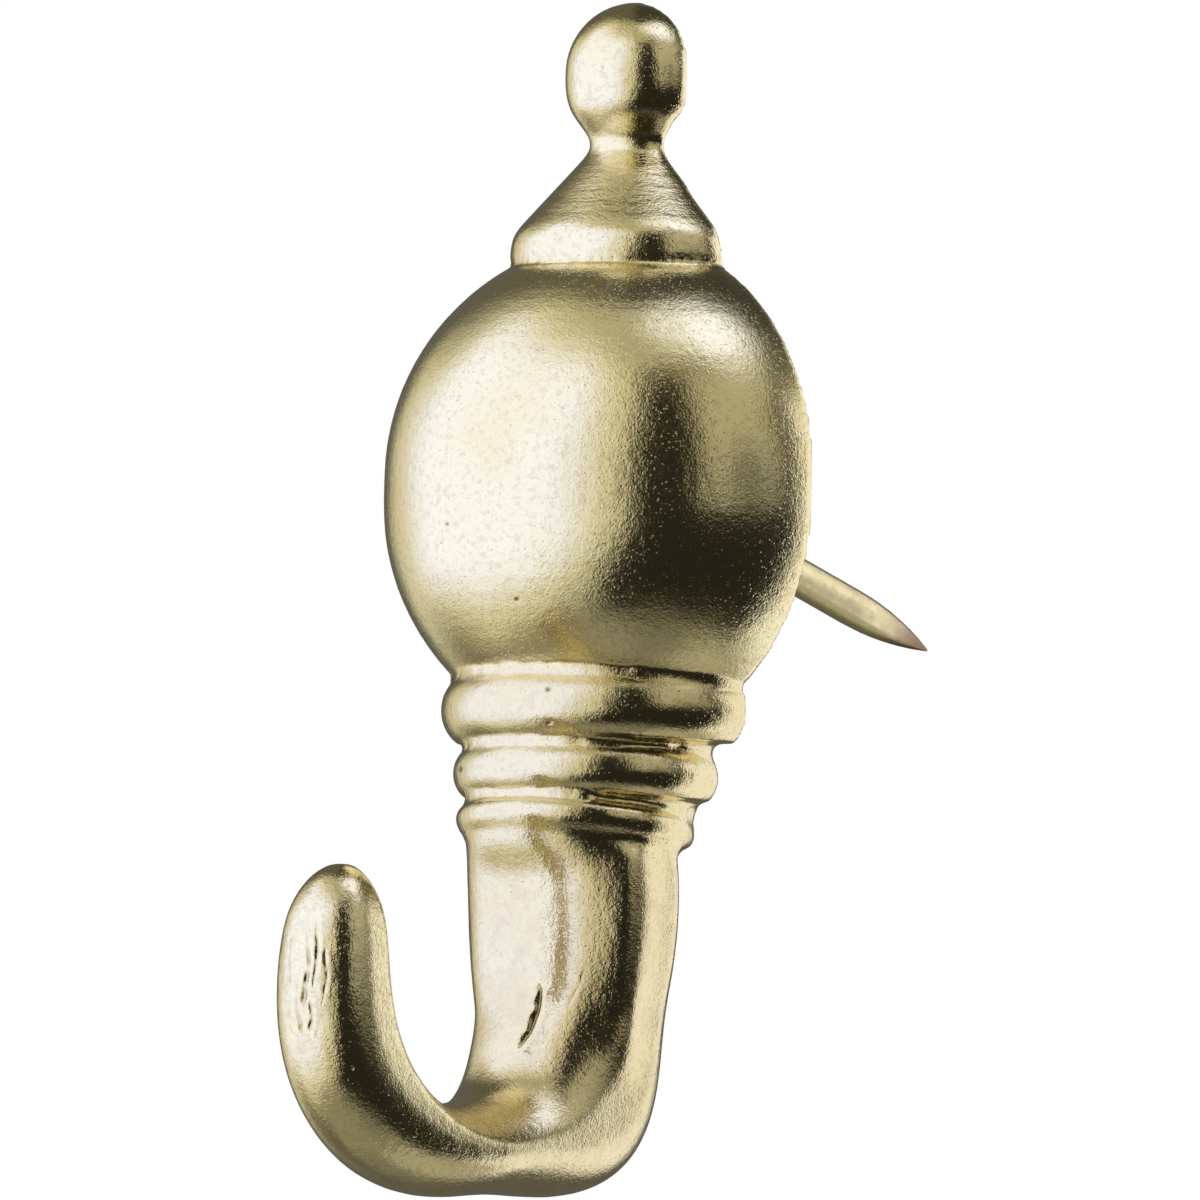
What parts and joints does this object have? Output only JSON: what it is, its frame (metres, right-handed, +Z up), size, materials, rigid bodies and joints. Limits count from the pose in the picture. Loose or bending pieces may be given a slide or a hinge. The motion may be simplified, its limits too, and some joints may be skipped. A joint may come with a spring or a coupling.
{
  "type": "picture hook",
  "caption": "Decorative push-in picture hook: half-round finial of knob, cone, ball and beads above a J hook, with a flat back and a pin slanting down out of it.",
  "frame": {"origin": "the point in the flat back where the axis of the pin crosses the wall plane", "axes": "+Y into the wall, square to the flat back; -Y is the front with the hook; +Z up; X across, the part is symmetric about x = 0"},
  "size_m": [0.0154, 0.0309, 0.0386],
  "materials": {
    "plated_casting": "pale brass plating over a slightly grainy casting",
    "plated_pin": "brass-plated steel wire, darker at the point"
  },
  "bodies": {
    "root": {"hook_body": "plated_casting", "wall_pin": "plated_pin"}
  },
  "joints": []
}
